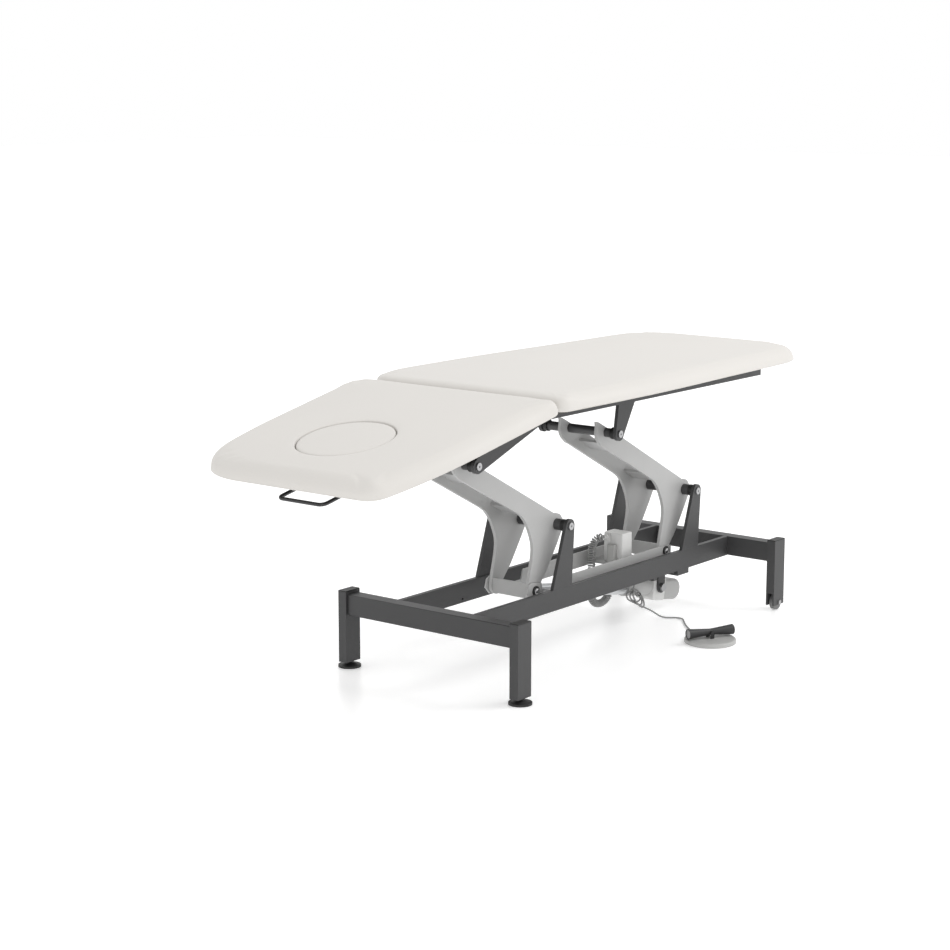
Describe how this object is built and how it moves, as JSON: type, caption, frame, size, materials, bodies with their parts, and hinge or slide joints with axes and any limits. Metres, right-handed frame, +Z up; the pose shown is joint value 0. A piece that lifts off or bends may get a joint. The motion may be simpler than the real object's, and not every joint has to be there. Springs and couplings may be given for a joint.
{
  "type": "examination couch",
  "caption": "Height-adjustable examination couch with a long padded top, a hinged head section with lift-out face plug, profiled lift arms and a rectangular base.",
  "frame": {"origin": "middle of the couch on the floor, under the centre of its bounding box", "axes": "+X from the head end to the foot end, +Y to the side away from the foot switch, +Z up"},
  "size_m": [2.0322, 0.7812, 0.807],
  "materials": {
    "anthracite": "powder coat, fine texture, satin",
    "grey_paint": "powder coat, satin",
    "bright_steel": "zinc plated",
    "black_plastic": "matt",
    "black_paint": "satin powder coat",
    "vinyl": "soft matt upholstery vinyl",
    "plywood": "sanded plywood",
    "grey_plastic": "fine texture",
    "cable_grey": "soft sheath",
    "wheel_grey": "hard rubber",
    "foot_rubber": "matt",
    "aluminium": "anodised",
    "pedal_plastic": "fine texture"
  },
  "bodies": {
    "base": {"cross_beams": "anthracite", "side_rails": "anthracite", "legs": "anthracite", "leg_caps": "black_plastic", "foot_inserts": "black_plastic", "base_brackets": "anthracite", "base_shafts": "bright_steel", "actuator_mount": "anthracite", "actuator_bolt": "bright_steel", "wheel_axles": "bright_steel", "cord_clip": "anthracite", "switch_base": "grey_plastic", "switch_block": "black_plastic", "switch_cord": "cable_grey", "cord_hank": "cable_grey", "cord_tie": "black_plastic", "strain_relief": "black_plastic"},
    "left_foot": {"head_foot_left": "foot_rubber"},
    "right_foot": {"head_foot_right": "foot_rubber"},
    "left_wheel": {"wheel_left": "wheel_grey"},
    "right_wheel": {"wheel_right": "wheel_grey"},
    "pedal": {"pedal": "pedal_plastic", "pedal_caps": "grey_plastic"},
    "head_arm": {"head_arm_frame": "grey_paint", "head_arm_bushes": "black_plastic"},
    "foot_arm": {"foot_arm_frame": "grey_paint", "foot_arm_bushes": "black_plastic"},
    "link_tray": {"tray_frame": "grey_paint", "tray_shafts": "bright_steel", "control_box": "grey_plastic", "control_cover": "grey_plastic", "connector_box": "grey_plastic", "curly_cord_plug": "grey_plastic", "curly_cord": "cable_grey", "curly_cord_gland": "black_plastic"},
    "top_frame": {"top_rails": "anthracite", "upper_brackets": "anthracite", "upper_shafts": "bright_steel", "hinge_lugs": "anthracite", "frame_pins": "bright_steel", "gas_anchor": "anthracite", "long_board": "plywood", "long_pad": "vinyl"},
    "head_section": {"head_board": "plywood", "head_pad": "vinyl", "head_bars": "anthracite", "head_crank": "anthracite", "handle_lugs": "anthracite", "handle_pivot": "bright_steel"},
    "release_handle": {"release_handle": "black_paint"},
    "face_plug": {"plug_pad": "vinyl", "plug_board": "plywood"},
    "gas_cylinder": {"gas_cylinder": "black_paint"},
    "gas_rod": {"gas_rod": "bright_steel"},
    "actuator_housing": {"actuator_gearbox": "grey_plastic", "actuator_motor": "grey_plastic", "actuator_cover": "grey_plastic", "actuator_tube": "aluminium"},
    "actuator_rod": {"actuator_rod": "aluminium"}
  },
  "joints": [
    {"name": "lift", "type": "hinge", "parent": "base", "child": "head_arm", "pos_m": [0.01119, 0.0352, 0.3812], "axis": [0, 1, 0], "range_deg": [-30, 22]},
    {"name": "foot_arm_pivot", "type": "hinge", "parent": "base", "child": "foot_arm", "pos_m": [0.66279, 0.0352, 0.3812], "axis": [0, 1, 0], "range_deg": [-30, 22]},
    {"name": "top_pivot", "type": "hinge", "parent": "head_arm", "child": "top_frame", "pos_m": [-0.40293, 0.0352, 0.60933], "axis": [0, 1, 0], "range_deg": [-22, 30]},
    {"name": "tray_pivot", "type": "hinge", "parent": "head_arm", "child": "link_tray", "pos_m": [-0.09351, 0.0352, 0.2098], "axis": [0, 1, 0], "range_deg": [-22, 30]},
    {"name": "head_tilt", "type": "hinge", "parent": "top_frame", "child": "head_section", "pos_m": [-0.32391, 0.0352, 0.752], "axis": [0, 1, 0], "range_deg": [-9, 45]},
    {"name": "handle_pull", "type": "hinge", "parent": "head_section", "child": "release_handle", "pos_m": [-0.70165, 0.0352, 0.6311], "axis": [0, 1, 0], "range_deg": [0, 6], "stiffness_Nm_per_rad": 8, "springref_deg": -6.88},
    {"name": "plug_lift", "type": "slide", "parent": "head_section", "child": "face_plug", "axis": [-0.1935, 0, 0.9811], "range_m": [0, 0.1]},
    {"name": "gas_pivot", "type": "hinge", "parent": "top_frame", "child": "gas_cylinder", "pos_m": [0.00609, 0.0352, 0.707], "axis": [0, 1, 0], "range_deg": [-2, 8]},
    {"name": "gas_slide", "type": "slide", "parent": "gas_cylinder", "child": "gas_rod", "axis": [-0.9999, 0, -0.0139], "range_m": [-0.008, 0.032]},
    {"name": "actuator_pivot", "type": "hinge", "parent": "base", "child": "actuator_housing", "pos_m": [0.59609, 0.0352, 0.085], "axis": [0, 1, 0], "range_deg": [-4, 4]},
    {"name": "actuator_slide", "type": "slide", "parent": "actuator_housing", "child": "actuator_rod", "axis": [-0.9859, 0, 0.1676], "range_m": [-0.1, 0.075]},
    {"name": "left_foot_screw", "type": "hinge", "parent": "base", "child": "left_foot", "pos_m": [-0.42891, -0.2618, 0], "axis": [0, 0, 1], "continuous": true},
    {"name": "right_foot_screw", "type": "hinge", "parent": "base", "child": "right_foot", "pos_m": [-0.42891, 0.3322, 0], "axis": [0, 0, 1], "continuous": true},
    {"name": "left_wheel_spin", "type": "hinge", "parent": "base", "child": "left_wheel", "pos_m": [0.86709, -0.2618, 0.024], "axis": [0, 1, 0], "continuous": true},
    {"name": "right_wheel_spin", "type": "hinge", "parent": "base", "child": "right_wheel", "pos_m": [0.86709, 0.3322, 0.024], "axis": [0, 1, 0], "continuous": true},
    {"name": "pedal_rock", "type": "hinge", "parent": "base", "child": "pedal", "pos_m": [0.41009, -0.3158, 0.031], "axis": [0.4587, 0.8886, 0], "range_deg": [-2.2, 2.2], "stiffness_Nm_per_rad": 2}
  ],
  "couplings": [
    {"joint": "foot_arm_pivot", "follows": "lift", "ratio": 1},
    {"joint": "top_pivot", "follows": "lift", "ratio": -1},
    {"joint": "tray_pivot", "follows": "lift", "ratio": -1},
    {"joint": "actuator_pivot", "follows": "lift", "ratio": 0.105},
    {"joint": "actuator_slide", "follows": "lift", "m_per_rad": 0.18564},
    {"joint": "gas_pivot", "follows": "head_tilt", "ratio": 0.115},
    {"joint": "gas_slide", "follows": "head_tilt", "m_per_rad": 0.037242}
  ]
}
